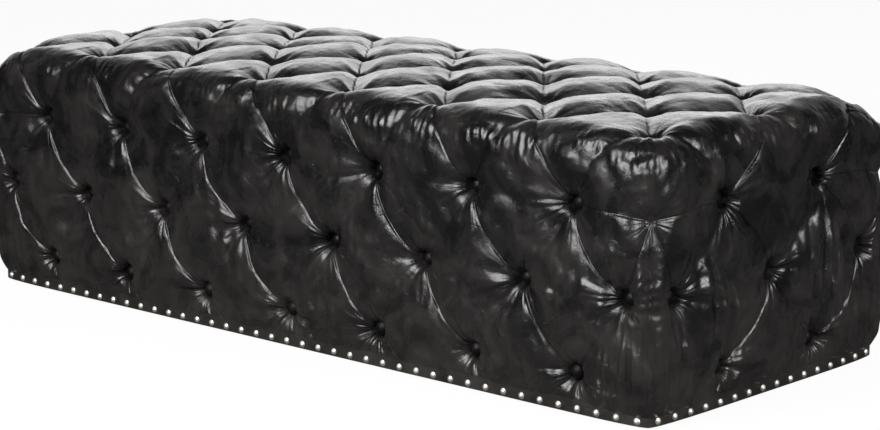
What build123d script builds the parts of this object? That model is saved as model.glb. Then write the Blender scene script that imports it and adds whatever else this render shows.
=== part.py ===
from build123d import *
import os
from math import hypot

# Chesterfield footstool: a long box stool in deep-buttoned leather.
# Millimetres, +Z up, floor at Z 0, length along X, front towards -Y.
# The leather is drawn down by buttons in a diamond lattice on the top and on all
# four sides; the diamonds run over the top edge without a seam.

# Overall size, over the crowns of the leather
LENGTH = 1500.0
WIDTH = 600.0
HEIGHT = 440.0

# Button lattice
TUFTS_LONG = 7
TUFTS_SHORT = 2
END_MARGIN = 57.0
SIDE_MARGIN = 68.0
UPPER_ROW_DROP = 128.0
LOWER_ROW_HEIGHT = 62.0

# Depth of the leather below the crowns
TOP_BUTTON_SINK = 42.0
SIDE_BUTTON_SINK = 38.0
TOP_PLEAT_SINK = 14.0
SIDE_PLEAT_SINK = 12.0
TOP_CROWN = 10.0
EDGE_PLEAT_INSET = 26.0
EDGE_PLEAT_DROP = 30.0
EDGE_CROWN_INSET = 16.0
HEM_INSET = 12.0
HEM_PLEAT_SINK = 18.0
CORNER_INSET = 14.0
CORNER_PLEAT_INSET = 22.0
CORNER_PLEAT_DROP = 16.0
HEM_CORNER = 10.0
HEM_CROWN_SINK = 1.0
HEM_CROWN_RISE = 28.0
BELLY_SINK = 3.0
BELLY_RISE = 18.0
CORNER_CROWN_RISE = 50.0

# Leather, band and nailheads
LEATHER = 2.0
TURN_UNDER = 25.0
BAND_HEIGHT = 21.0
BAND_THICKNESS = 2.0
NAIL_HEAD_RADIUS = 5.5
NAIL_HEAD_RISE = 3.2
NAIL_SHANK_RADIUS = 0.8
NAIL_SHANK_LENGTH = 14.0
NAIL_PITCH = 35.5
NAIL_HEIGHT = 7.5

# Buttons, twines and stay washers
BUTTON_RADIUS = 11.0
BUTTON_BACK = 10.5
BUTTON_DOME = 5.0
TWINE_RADIUS = 1.0
KNOT_RADIUS = 2.6
KNOT_LENGTH = 4.0
WASHER_RADIUS = 7.0
WASHER_THICKNESS = 2.5
TWINE_LEAD = 12.0
BUTTON_NAIL_BITE = 8.0

# Padding behind the leather, from the crowns to the wood
SIDE_PADDING = 45.0
TOP_PADDING = 90.0

# Frame
PANEL = 9.0
DECK = 15.0
RAIL_WIDTH = 90.0
RAIL_HEIGHT = 23.0
POST = 45.0
STUD_THICKNESS = 22.0
STUD_DEPTH = 40.0
BATTEN_HEIGHT = 15.0
BEARER_HEIGHT = 60.0
STRETCHER_WIDTH = 45.0
RIB_STEPS = (-4.5, -1.5, 1.5, 4.5)

# Screws
SCREW_RADIUS = 2.0
SCREW_HEAD_RADIUS = 4.0
SCREW_HEAD_DEPTH = 3.0
SCREW_LENGTH = 32.0
SCREW_INSET = 40.0
SCREW_STAGGER = 18.0
DECK_SCREW_SPACING = 150.0

# Underside
GLIDE_HEIGHT = 3.0
GLIDE_RADIUS = 15.0
GLIDE_STEM_RADIUS = 2.5
GLIDE_STEM_LENGTH = 15.0
GLIDE_INSET = 50.0
GLIDE_END_INSET = 110.0
CLOTH = 1.0
CLOTH_INSET = 8.0
STAPLE_WIDTH = 11.0
STAPLE_WIRE = 1.2
STAPLE_LEG = 10.0
STAPLE_INSET = 34.0
STAPLE_PITCH = 72.0

# Clearances
SEAT_GAP = 0.3
FOAM_GAP = 0.5
TWINE_GAP = 0.3
BORE_GAP = 1.0

os.makedirs("parts", exist_ok=True)

# Heights and planes that follow from the sizes above
UP = Vector(0, 0, 1)
CLOTH_Z = GLIDE_HEIGHT
HEM_Z = CLOTH_Z + CLOTH
RAIL_Z = HEM_Z + LEATHER
SKIRT_Z = RAIL_Z + RAIL_HEIGHT
DECK_TOP = HEIGHT - TOP_PADDING
DECK_Z = DECK_TOP - DECK
BATTEN_Z = DECK_Z - BATTEN_HEIGHT
WOOD_X = LENGTH / 2 - SIDE_PADDING
WOOD_Y = WIDTH / 2 - SIDE_PADDING
BOX_X = WOOD_X - PANEL
BOX_Y = WOOD_Y - PANEL
UPPER_ROW = HEIGHT - UPPER_ROW_DROP
MIDDLE_ROW = (UPPER_ROW + LOWER_ROW_HEIGHT) / 2
FOAM_DEPTH = LEATHER + FOAM_GAP
RAIL_DEPTH = LEATHER + SEAT_GAP


class Spot:
    """A point of the leather and the way it faces, so that it can be sunk inwards."""

    def __init__(self, place, out):
        self.place = Vector(place)
        self.out = Vector(out)

    def sunk(self, depth):
        return self.place - self.out * depth

    def flipped(self, sx, sy):
        place = Vector(self.place.X * sx, self.place.Y * sy, self.place.Z)
        return Spot(place, Vector(self.out.X * sx, self.out.Y * sy, self.out.Z))


class Side:
    """One upright side: its lattice columns and its points by inset and height."""

    def __init__(self, along, out, reach, tufts, margin, cross_half, cross_margin, cross_tufts):
        self.along = Vector(along)
        self.out = Vector(out)
        self.reach = reach
        self.tufts = tufts
        self.margin = cross_margin
        self.half_pitch = (2 * cross_half - 2 * margin) / tufts / 2
        self.cross = (2 * reach - 2 * cross_margin) / cross_tufts / 2
        self.end = cross_half

    def column(self, index):
        return (index - self.tufts) * self.half_pitch

    def point(self, u, inset, z):
        return self.along * u + self.out * (self.reach - inset) + UP * z

    def wall(self, u, inset, z):
        return Spot(self.point(u, inset, z), self.out)

    def top(self, u, inset, z):
        return Spot(self.point(u, inset, z), UP)

    def edge(self, u, inset, z):
        return Spot(self.point(u, inset, z), self.out + UP)


def long_side(sign):
    return Side((sign, 0, 0), (0, -sign, 0), WIDTH / 2, TUFTS_LONG, END_MARGIN, LENGTH / 2,
                SIDE_MARGIN, TUFTS_SHORT)


def short_side(sign):
    return Side((0, sign, 0), (sign, 0, 0), LENGTH / 2, TUFTS_SHORT, SIDE_MARGIN, WIDTH / 2,
                END_MARGIN, TUFTS_LONG)


front = long_side(1)
right = short_side(1)
sides = {"front": front, "back": long_side(-1), "left": short_side(-1), "right": right}


def crown(x, y):
    """Rise of the top towards its middle, nothing at the outermost buttons."""
    across = 1 - (y / right.column(0)) ** 2
    along = 1 - (x / front.column(0)) ** 4
    return HEIGHT - TOP_CROWN + TOP_CROWN * across * along


class Tuft:
    """One patch of leather: four corners in turn, the middles of its four edges, its crown."""

    def __init__(self, corners, middles, centre, hem=False):
        self.corners = corners
        self.middles = middles
        self.centre = centre
        self.hem = hem

    def flipped(self, sx, sy):
        corners = [s.flipped(sx, sy) for s in self.corners]
        middles = [s.flipped(sx, sy) for s in self.middles]
        return Tuft(corners, middles, self.centre.flipped(sx, sy), self.hem)

    def net(self, depth):
        p = [s.sunk(depth) for s in self.corners]
        m = [s.sunk(depth) for s in self.middles]
        e = [m[k] * 2 - (p[k] + p[(k + 1) % 4]) * 0.5 for k in range(4)]
        pull = (p[0] + p[1] + p[2] + p[3]) * 0.25 + (e[0] + e[1] + e[2] + e[3]) * 0.5
        heart = self.centre.sunk(depth) * 4 - pull
        return [[p[0], e[0], p[1]], [e[3], heart, e[1]], [p[3], e[2], p[2]]]

    def face(self, depth):
        return Face.make_bezier_surface(self.net(depth))

    def hem_edge(self, depth, z):
        drop = UP * (z - SKIRT_Z)
        start, bend, end = [p + drop for p in self.net(depth)[2]]
        if (bend * 2 - start - end).length < 0.001:
            return Edge.make_line(start, end)
        return Edge.make_bezier(start, bend, end)


def top_spot(a, b, sink):
    x = front.column(a)
    y = right.column(b)
    return Spot((x, y, crown(x, y) - sink), UP)


def top_tufts():
    """Whole diamonds on the top, between the outermost rows of buttons."""
    tufts = []
    for b in range(1, 2 * TUFTS_SHORT):
        for a in range(1, 2 * TUFTS_LONG):
            if (a + b) % 2 == 0:
                continue
            ring = [(a - 1, b), (a, b + 1), (a + 1, b), (a, b - 1)]
            corners = [top_spot(i, j, TOP_BUTTON_SINK) for i, j in ring]
            middles = []
            for k in range(4):
                i, j = ring[k]
                m, n = ring[(k + 1) % 4]
                middles.append(top_spot((i + m) / 2, (j + n) / 2, TOP_PLEAT_SINK))
            tufts.append(Tuft(corners, middles, top_spot(a, b, 0)))
    return tufts


def rim_spot(side, index, steps, sink):
    """A point on the top, counted in lattice steps in from this side's outermost row."""
    place = side.point(side.column(index), side.margin + steps * side.cross, 0)
    return Spot((place.X, place.Y, crown(place.X, place.Y) - sink), UP)


def over_edge(side, index):
    return side.edge(side.column(index), EDGE_PLEAT_INSET, HEIGHT - TOP_CROWN - EDGE_PLEAT_DROP)


def side_button(side, index, z):
    return side.wall(side.column(index), SIDE_BUTTON_SINK, z)


def side_pleat(side, index, z):
    return side.wall(side.column(index), SIDE_PLEAT_SINK, z)


def side_tufts(side):
    """Diamonds of one side: over the top edge, two staggered rows, and the hem."""
    tufts = []
    high = (UPPER_ROW + MIDDLE_ROW) / 2
    low = (MIDDLE_ROW + LOWER_ROW_HEIGHT) / 2
    last = 2 * side.tufts
    for a in range(1, last, 2):
        u = side.column(a)
        corners = [rim_spot(side, a - 1, 0, TOP_BUTTON_SINK), rim_spot(side, a, 1, TOP_BUTTON_SINK),
                   rim_spot(side, a + 1, 0, TOP_BUTTON_SINK), side_button(side, a, UPPER_ROW)]
        middles = [rim_spot(side, a - 0.5, 0.5, TOP_PLEAT_SINK), rim_spot(side, a + 0.5, 0.5, TOP_PLEAT_SINK),
                   over_edge(side, a + 0.5), over_edge(side, a - 0.5)]
        rise = HEIGHT - TOP_CROWN - EDGE_CROWN_INSET
        tufts.append(Tuft(corners, middles, side.edge(u, EDGE_CROWN_INSET, rise)))
        corners = [side_button(side, a - 1, MIDDLE_ROW), side_button(side, a, UPPER_ROW),
                   side_button(side, a + 1, MIDDLE_ROW), side_button(side, a, LOWER_ROW_HEIGHT)]
        middles = [side_pleat(side, a - 0.5, high), side_pleat(side, a + 0.5, high),
                   side_pleat(side, a + 0.5, low), side_pleat(side, a - 0.5, low)]
        tufts.append(Tuft(corners, middles, side.wall(u, 0, MIDDLE_ROW)))
    for a in range(2, last - 1, 2):
        u = side.column(a)
        corners = [side_button(side, a - 1, UPPER_ROW), rim_spot(side, a, 0, TOP_BUTTON_SINK),
                   side_button(side, a + 1, UPPER_ROW), side_button(side, a, MIDDLE_ROW)]
        middles = [over_edge(side, a - 0.5), over_edge(side, a + 0.5),
                   side_pleat(side, a + 0.5, high), side_pleat(side, a - 0.5, high)]
        tufts.append(Tuft(corners, middles, side.wall(u, 0, UPPER_ROW)))
        for step in (-1, 1):
            tufts.append(hem_tuft(side, a, step))
    return tufts


def hem_tuft(side, index, step):
    """Half of a lowest tuft: from a middle-row button down to the hem."""
    low = (MIDDLE_ROW + LOWER_ROW_HEIGHT) / 2
    foot = (LOWER_ROW_HEIGHT + SKIRT_Z) / 2
    u = side.column(index)
    beside = side.column(index + step)
    between = side.column(index + step / 2)
    corners = [side_button(side, index, MIDDLE_ROW), side_button(side, index + step, LOWER_ROW_HEIGHT),
               side.wall(beside, HEM_INSET, SKIRT_Z), side.wall(u, HEM_INSET, SKIRT_Z)]
    middles = [side_pleat(side, index + step / 2, low), side.wall(beside, HEM_PLEAT_SINK, foot),
               side.wall(between, HEM_INSET, SKIRT_Z),
               side.wall(u, HEM_CROWN_SINK, LOWER_ROW_HEIGHT + HEM_CROWN_RISE)]
    return Tuft(corners, middles, side.wall(between, BELLY_SINK, foot + BELLY_RISE), hem=True)


def corner_spot(inset, z, out=Vector(1, -1, 0)):
    return Spot((LENGTH / 2 - inset, -WIDTH / 2 + inset, z), out)


def hem_bend(side, sign):
    """Hem at one end of a side: end of the straight run, bend, and toe on the corner."""
    index = 2 * side.tufts - 1 if sign > 0 else 1
    run_end = side.wall(side.column(index), HEM_INSET, SKIRT_Z)
    bend = side.wall(sign * (side.end - HEM_INSET - 2 * HEM_CORNER), HEM_INSET, SKIRT_Z)
    toe = side.wall(sign * (side.end - HEM_INSET - HEM_CORNER), HEM_INSET + HEM_CORNER, SKIRT_Z)
    toe.out = side.out + side.along * sign
    return run_end, bend, toe


def corner_tufts():
    """Leather round the upright corner at +X, -Y, from the corner button down to the hem."""
    high = (UPPER_ROW + MIDDLE_ROW) / 2
    low = (MIDDLE_ROW + LOWER_ROW_HEIGHT) / 2
    foot = (LOWER_ROW_HEIGHT + SKIRT_Z) / 2
    fork = UPPER_ROW - CORNER_PLEAT_DROP
    meeting = corner_spot(CORNER_PLEAT_INSET, fork)
    waist = corner_spot(CORNER_INSET, MIDDLE_ROW)
    shin = corner_spot(CORNER_INSET - 2, LOWER_ROW_HEIGHT)
    last = 2 * TUFTS_LONG
    faces = [(front, last, -1, 1), (right, 0, 1, -1)]
    apex = rim_spot(front, last, 0, TOP_BUTTON_SINK)
    folds = []
    for side, end, step, sign in faces:
        near = (side.column(end + step) + sign * (side.end - CORNER_PLEAT_INSET)) / 2
        folds.append(side.wall(near, SIDE_PLEAT_SINK - 2, (UPPER_ROW + fork) / 2 - 4))
    cheek = corner_spot(CORNER_INSET, UPPER_ROW + CORNER_CROWN_RISE, Vector(1, -1, 1))
    corners = [apex, side_button(front, last - 1, UPPER_ROW), meeting, side_button(right, 1, UPPER_ROW)]
    middles = [over_edge(front, last - 0.5), folds[0], folds[1], over_edge(right, 0.5)]
    tufts = [Tuft(corners, middles, cheek)]
    for (side, end, step, sign), fold in zip(faces, folds):
        rim = sign * side.end
        mid = side.column(end + step / 2)
        inner = side.column(end + step)
        upper = side_button(side, end + step, UPPER_ROW)
        button = side_button(side, end, MIDDLE_ROW)
        lower = side_button(side, end + step, LOWER_ROW_HEIGHT)
        ridge = corner_spot(CORNER_INSET - 1, (fork + MIDDLE_ROW) / 2)
        level = (side.column(end) + rim - sign * CORNER_INSET) / 2
        wrinkle = side.wall(level, CORNER_INSET + 2, MIDDLE_ROW)
        corners = [upper, button, waist, meeting]
        middles = [side.wall(mid, SIDE_PLEAT_SINK, high), wrinkle, ridge, fold]
        heart = (mid + rim - sign * CORNER_PLEAT_INSET) / 2
        tufts.append(Tuft(corners, middles, side.wall(heart, BELLY_SINK, MIDDLE_ROW + CORNER_CROWN_RISE)))
        belly = (inner + rim - sign * CORNER_INSET) / 2
        bulge = side.wall(belly, BELLY_SINK, LOWER_ROW_HEIGHT)
        corners = [waist, button, lower, shin]
        middles = [wrinkle, side.wall(mid, SIDE_PLEAT_SINK, low), bulge, corner_spot(CORNER_INSET - 3, low)]
        heart = (mid + rim - sign * CORNER_INSET) / 2
        tufts.append(Tuft(corners, middles, side.wall(heart, BELLY_SINK, low)))
        hem, bend, toe = hem_bend(side, sign)
        sweep = Spot(hem.place * 0.25 + bend.place * 0.5 + toe.place * 0.25,
                     hem.out * 0.25 + bend.out * 0.5 + toe.out * 0.25)
        corners = [shin, lower, hem, toe]
        middles = [bulge, side.wall(inner, HEM_PLEAT_SINK, foot), sweep, corner_spot(CORNER_INSET, foot)]
        tufts.append(Tuft(corners, middles, side.wall(belly, 2 * BELLY_SINK, foot), hem=True))
    return tufts


tufts = top_tufts()
for side in sides.values():
    tufts += side_tufts(side)
for sx in (1, -1):
    for sy in (1, -1):
        tufts += [t.flipped(sx, sy) for t in corner_tufts()]


def hem_line(depth, z):
    return [t.hem_edge(depth, z) for t in tufts if t.hem]


def hem_wire(depth, z):
    return Wire(hem_line(depth, z))


def side_hem(side, depth, z):
    """The hem of one side from corner to corner: a straight run with a bend at each end."""
    drop = UP * (z - SKIRT_Z)
    run_a, bend_a, toe_a = [s.sunk(depth) + drop for s in hem_bend(side, -1)]
    run_b, bend_b, toe_b = [s.sunk(depth) + drop for s in hem_bend(side, 1)]
    return [Edge.make_bezier(toe_a, bend_a, run_a), Edge.make_line(run_a, run_b),
            Edge.make_bezier(run_b, bend_b, toe_b)]


def hem_outline(depth, z):
    """The hem all round, in long runs."""
    edges = []
    for side in sides.values():
        edges += side_hem(side, depth, z)
    return Wire(edges)


def frame_line(x, y, z):
    """A rectangle about the middle, by its half sizes."""
    return Wire.make_polygon([(-x, -y, z), (x, -y, z), (x, y, z), (-x, y, z)])


def upright(edges, height):
    return [Face.extrude(e, (0, 0, height)) for e in edges]


def patches(depth):
    return [t.face(depth) for t in tufts]


def apart(a, b):
    """Whether two boxes miss each other."""
    x = a.max.X < b.min.X or b.max.X < a.min.X
    y = a.max.Y < b.min.Y or b.max.Y < a.min.Y
    z = a.max.Z < b.min.Z or b.max.Z < a.min.Z
    return x or y or z


def drilled(body, tools):
    reach = body.bounding_box()
    cutters = [t for t in tools if not apart(reach, t.bounding_box())]
    return body.cut(*cutters) if cutters else body


def block(x0, x1, y0, y1, z0, z1):
    size = Solid.make_box(x1 - x0, y1 - y0, z1 - z0)
    return size.moved(Location((x0, y0, z0)))


def rod(start, end, radius):
    run = end - start
    return Solid.make_cylinder(radius, run.length, Plane(start, z_dir=run))


def turned(outline, place, axis):
    """A body turned from a half outline of (radius, height) points, set on a place and axis."""
    face = make_face(Polyline(*[(r, 0, h) for r, h in outline], close=True))
    body = revolve(face, axis=Axis.Z).solid()
    return body.moved(Plane(place, z_dir=axis).location)


def domed(radius, rise, base, back, place, axis):
    """A dome over a straight or tapered back, on a place and axis; base is (radius, height)."""
    top = ThreePointArc((radius, 0, 0), dome_middle(radius, rise), (0, 0, rise))
    under = Polyline((0, 0, rise), (0, 0, back[1]), (back[0], 0, back[1]), *base, (radius, 0, 0))
    body = revolve(make_face(Curve() + top + under), axis=Axis.Z).solid()
    return body.moved(Plane(place, z_dir=axis).location)


def dome_middle(radius, rise):
    """A point halfway along the arc of a dome."""
    ball = (radius ** 2 + rise ** 2) / (2 * rise)
    half = radius / 2
    return (half, 0, rise - ball + (ball ** 2 - half ** 2) ** 0.5)


# Buttons sit in the funnels that they pull: find where each one comes to rest.
def bezier_point(net, u, v):
    a = ((1 - u) ** 2, 2 * u * (1 - u), u ** 2)
    b = ((1 - v) ** 2, 2 * v * (1 - v), v ** 2)
    weights = [(net[i][j], a[i] * b[j]) for i in range(3) for j in range(3)]
    return Vector(*[sum(p[axis] * w for p, w in weights) for axis in range(3)])


def resting_height(spot):
    """Height of a button's tip above the bottom of its funnel."""
    slope = BUTTON_BACK / BUTTON_RADIUS
    lift = 0.0
    for tuft in tufts:
        hits = [k for k in range(4) if (tuft.corners[k].place - spot.place).length < 0.01]
        if not hits:
            continue
        net = [[tuple(p) for p in row] for row in tuft.net(0)]
        for i in range(9):
            for j in range(9):
                u = i / 100
                v = j / 100
                u, v = [(u, v), (u, 1 - v), (1 - u, 1 - v), (1 - u, v)][hits[0]]
                offset = bezier_point(net, u, v) - spot.place
                height = offset.dot(spot.out)
                reach = (offset - spot.out * height).length
                if reach <= BUTTON_RADIUS:
                    lift = max(lift, height - reach * slope)
    return lift + SEAT_GAP


rests = {}


def rest(spot):
    """Resting height, worked out once for each set of mirrored places."""
    key = (round(abs(spot.place.X), 2), round(abs(spot.place.Y), 2), round(spot.place.Z, 2))
    if key not in rests:
        rests[key] = resting_height(spot)
    return rests[key]


class Button:
    """A covered button: where its leather funnel ends, its tip, and what holds it."""

    def __init__(self, spot, group, nailed=False, anchor=None):
        self.spot = spot
        self.group = group
        self.nailed = nailed
        self.anchor = anchor
        self.tip = spot.place + spot.out * rest(spot)

    def body(self):
        tip = (TWINE_RADIUS, -BUTTON_BACK + BUTTON_BACK * TWINE_RADIUS / BUTTON_RADIUS)
        place = self.tip + self.spot.out * BUTTON_BACK
        body = domed(BUTTON_RADIUS, BUTTON_DOME, [], tip, place, self.spot.out)
        if not self.nailed:
            return body
        return body.fuse(self.shank(TWINE_RADIUS))

    def start(self):
        return self.tip + self.spot.out * (BUTTON_BACK * TWINE_RADIUS / BUTTON_RADIUS)

    def shank(self, radius):
        bite = SIDE_PADDING - SIDE_BUTTON_SINK + PANEL + BUTTON_NAIL_BITE
        return rod(self.start(), self.spot.place - self.spot.out * bite, radius)

    def route(self):
        """Bends of the twine, down to the washer's inner face."""
        if self.spot.out.Z > 0.5:
            wood = DECK_Z
            foot = Vector(self.anchor.X, self.anchor.Y, wood - WASHER_THICKNESS)
            if hypot(foot.X - self.spot.place.X, foot.Y - self.spot.place.Y) < 0.01:
                return [self.start(), foot]
            lead = self.spot.place - UP * TWINE_LEAD
            return [self.start(), lead, Vector(foot.X, foot.Y, DECK_TOP + TWINE_LEAD), foot]
        depth = SIDE_PADDING - SIDE_BUTTON_SINK + PANEL + WASHER_THICKNESS
        return [self.start(), self.spot.place - self.spot.out * depth]

    def legs(self, radius):
        points = self.route()
        return [rod(points[k], points[k + 1], radius) for k in range(len(points) - 1)]

    def knuckles(self, radius):
        return [Solid.make_sphere(radius, Plane(p), angle1=-90, angle2=90) for p in self.route()[1:-1]]

    def pierce(self):
        """The hole through the leather."""
        return rod(self.start(), self.spot.place - self.spot.out * TWINE_LEAD / 2, TWINE_RADIUS + TWINE_GAP)

    def twine(self):
        end = self.route()[-1]
        pieces = self.legs(TWINE_RADIUS) + self.knuckles(TWINE_RADIUS)
        pieces.append(rod(end, end - self.spot.out * KNOT_LENGTH, KNOT_RADIUS))
        return pieces[0].fuse(*pieces[1:])

    def washer(self):
        end = self.route()[-1]
        ring = rod(end, end + self.spot.out * WASHER_THICKNESS, WASHER_RADIUS)
        return ring.cut(rod(end, end + self.spot.out * WASHER_THICKNESS, TWINE_RADIUS + TWINE_GAP))

    def bore(self):
        """The hole through the wood behind."""
        end = self.route()[-1]
        thickness = DECK if self.spot.out.Z > 0.5 else PANEL
        face = end + self.spot.out * WASHER_THICKNESS
        return rod(face, face + self.spot.out * thickness, TWINE_RADIUS + BORE_GAP)


def limited(value, limit):
    return max(-limit, min(limit, value))


buttons = []
anchor_x = BOX_X - STUD_DEPTH - 2 * WASHER_RADIUS
anchor_y = BOX_Y - STUD_DEPTH - 2 * WASHER_RADIUS
for b in range(2 * TUFTS_SHORT + 1):
    for a in range(2 * TUFTS_LONG + 1):
        if (a + b) % 2 == 0:
            spot = top_spot(a, b, TOP_BUTTON_SINK)
            anchor = Vector(limited(spot.place.X, anchor_x), limited(spot.place.Y, anchor_y), 0)
            buttons.append(Button(spot, "top", anchor=anchor))
for name, side in sides.items():
    for a in range(2 * side.tufts + 1):
        rows = [UPPER_ROW, LOWER_ROW_HEIGHT] if a % 2 else [MIDDLE_ROW]
        nailed = a in (0, 2 * side.tufts)
        for z in rows:
            buttons.append(Button(side_button(side, a, z), name, nailed))
twined = [b for b in buttons if not b.nailed]
nailed = [b for b in buttons if b.nailed]

# Holes that the twines and the nail-backed buttons need
leather_holes = [b.pierce() for b in buttons]
foam_holes = [b.shank(TWINE_RADIUS + TWINE_GAP) for b in nailed]
for b in twined:
    foam_holes += b.legs(TWINE_RADIUS + TWINE_GAP) + b.knuckles(TWINE_RADIUS + TWINE_GAP)
wood_holes = [b.bore() for b in twined] + [b.shank(TWINE_RADIUS) for b in nailed]

# Nailheads at even steps round the band
nails = []
nail_holes = []
for side in sides.values():
    path = Wire(side_hem(side, -BAND_THICKNESS, HEM_Z + NAIL_HEIGHT))
    count = round(path.length / NAIL_PITCH)
    for k in range(count):
        share = (k + 0.5) / count
        place = path.position_at(share)
        run = path.tangent_at(share)
        out = run.cross(UP)
        out = out * (1 if out.dot(side.out) > 0 else -1)
        base = [(NAIL_SHANK_RADIUS, 0, 0)]
        tail = (NAIL_SHANK_RADIUS, -NAIL_SHANK_LENGTH)
        nails.append(domed(NAIL_HEAD_RADIUS, NAIL_HEAD_RISE, base, tail, place, out))
        nail_holes.append(rod(place + out, place - out * NAIL_SHANK_LENGTH, NAIL_SHANK_RADIUS))

# Screws: a countersunk head flush with the face, driven along an axis
rib_x = [front.column(TUFTS_LONG + step) for step in RIB_STEPS]


def screw(place, out):
    outline = [(0, 0), (SCREW_HEAD_RADIUS, 0), (SCREW_RADIUS, -SCREW_HEAD_DEPTH),
               (SCREW_RADIUS, -SCREW_LENGTH), (0, -SCREW_LENGTH)]
    return turned(outline, place, out)


panel_screws = []
post_x = BOX_X - POST / 2
post_y = BOX_Y - POST / 2
heights = [SKIRT_Z + SCREW_INSET, BATTEN_Z - SCREW_INSET]
for z in heights:
    for sign in (-1, 1):
        for x in [-post_x] + rib_x + [post_x]:
            panel_screws.append(screw((x, sign * WOOD_Y, z), (0, sign, 0)))
        for y in (-post_y, post_y):
            panel_screws.append(screw((sign * WOOD_X, y, z + SCREW_STAGGER), (sign, 0, 0)))
deck_screws = []
for x in rib_x:
    for y in (-DECK_SCREW_SPACING, 0, DECK_SCREW_SPACING):
        deck_screws.append(screw((x, y, DECK_TOP), (0, 0, 1)))
wood_holes += panel_screws + deck_screws + nail_holes

# Glides: a disc with a stem, in three pairs
glides = []
stem_top = GLIDE_HEIGHT + GLIDE_STEM_LENGTH
glide_y = WIDTH / 2 - HEM_INSET - GLIDE_INSET
glide_x = LENGTH / 2 - HEM_INSET - GLIDE_END_INSET
for x in (-glide_x, 0, glide_x):
    for y in (-glide_y, glide_y):
        outline = [(0, 0), (GLIDE_RADIUS, 0), (GLIDE_RADIUS, GLIDE_HEIGHT), (GLIDE_STEM_RADIUS, GLIDE_HEIGHT),
                   (GLIDE_STEM_RADIUS, stem_top), (0, stem_top)]
        glides.append(turned(outline, (x, y, 0), (0, 0, 1)))

# Staples: bent wire through the bottoming cloth into the rails
staples = []
half = STAPLE_WIDTH / 2
inner = half - STAPLE_WIRE
loop = Polyline((-half, -STAPLE_WIRE), (half, -STAPLE_WIRE), (half, STAPLE_LEG), (inner, STAPLE_LEG),
                (inner, 0), (-inner, 0), (-inner, STAPLE_LEG), (-half, STAPLE_LEG), close=True)
staple = extrude(make_face(loop), STAPLE_WIRE / 2, both=True).solid()
for side in sides.values():
    run_a, bend_a, toe_a = [s.sunk(STAPLE_INSET) for s in hem_bend(side, -1)]
    run_b, bend_b, toe_b = [s.sunk(STAPLE_INSET) for s in hem_bend(side, 1)]
    length = (bend_b - bend_a).length
    count = round(length / STAPLE_PITCH)
    for k in range(count):
        spot = bend_a + (bend_b - bend_a) * ((k + 0.5) / count)
        plane = Plane((spot.X, spot.Y, CLOTH_Z), x_dir=side.along, z_dir=side.along.cross(UP))
        staples.append(staple.moved(plane.location))
under_holes = glides + staples


def save(name, shape):
    export_step(shape, os.path.join("parts", name + ".step"))


def save_group(name, bodies):
    save(name, Compound(bodies))


# Leather cover: the tufted skin, a straight hem and the strip turned under the rails
skin = patches(0) + patches(LEATHER)
skin += upright(hem_line(0, HEM_Z), SKIRT_Z - HEM_Z)
skin += upright(hem_line(LEATHER, RAIL_Z), RAIL_HEIGHT)
turned_x = LENGTH / 2 - HEM_INSET - TURN_UNDER
turned_y = WIDTH / 2 - HEM_INSET - TURN_UNDER
skin += upright(frame_line(turned_x, turned_y, HEM_Z).edges(), LEATHER)
skin.append(Face(hem_wire(0, HEM_Z), [frame_line(turned_x, turned_y, HEM_Z)]))
skin.append(Face(hem_wire(LEATHER, RAIL_Z), [frame_line(turned_x, turned_y, RAIL_Z)]))
cover = Solid(Shell(skin))
save("leather_cover", drilled(cover, leather_holes + nail_holes))

# Foam: one padding body under the leather, parted into five pads
padding = patches(FOAM_DEPTH) + upright(frame_line(WOOD_X, WOOD_Y, SKIRT_Z).edges(), DECK_TOP - SKIRT_Z)
padding.append(Face(hem_wire(FOAM_DEPTH, SKIRT_Z), [frame_line(WOOD_X, WOOD_Y, SKIRT_Z)]))
padding.append(Face(frame_line(WOOD_X, WOOD_Y, DECK_TOP)))
foam = Solid(Shell(padding))
walls = foam.split(Plane((0, 0, DECK_TOP)), keep=Keep.BOTTOM)
save("foam_top", drilled(foam.split(Plane((0, 0, DECK_TOP)), keep=Keep.TOP), foam_holes))
ends = walls
for name, sign in (("front", -1), ("back", 1)):
    cut = Plane((0, sign * WOOD_Y, 0), z_dir=(0, sign, 0))
    save("foam_" + name, drilled(walls.split(cut, keep=Keep.TOP), foam_holes))
    ends = ends.split(cut, keep=Keep.BOTTOM)
for piece in ends:
    save("foam_right" if piece.center().X > 0 else "foam_left", drilled(piece, foam_holes))

# Buttons, twines and washers
for group in ("top", "front", "back", "left", "right"):
    save_group("buttons_" + group, [b.body() for b in buttons if b.group == group])
save_group("button_twines", [b.twine() for b in twined])
save_group("stay_washers", [b.washer() for b in twined])

# Band and nailheads
band_face = Face(hem_outline(-BAND_THICKNESS, HEM_Z), [hem_outline(0, HEM_Z)])
band = Solid.extrude(band_face, (0, 0, BAND_HEIGHT))
save("hem_band", drilled(band, nail_holes))
save_group("band_nails", nails)

# Deck and wall panels
save("deck", drilled(block(-WOOD_X, WOOD_X, -WOOD_Y, WOOD_Y, DECK_Z, DECK_TOP), wood_holes))
for name, sign in (("front", -1), ("back", 1)):
    y0, y1 = sorted((sign * BOX_Y, sign * WOOD_Y))
    save("panel_" + name, drilled(block(-WOOD_X, WOOD_X, y0, y1, SKIRT_Z, DECK_Z), wood_holes))
for name, sign in (("left", -1), ("right", 1)):
    x0, x1 = sorted((sign * BOX_X, sign * WOOD_X))
    save("panel_" + name, drilled(block(x0, x1, -BOX_Y, BOX_Y, SKIRT_Z, DECK_Z), wood_holes))

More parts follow.
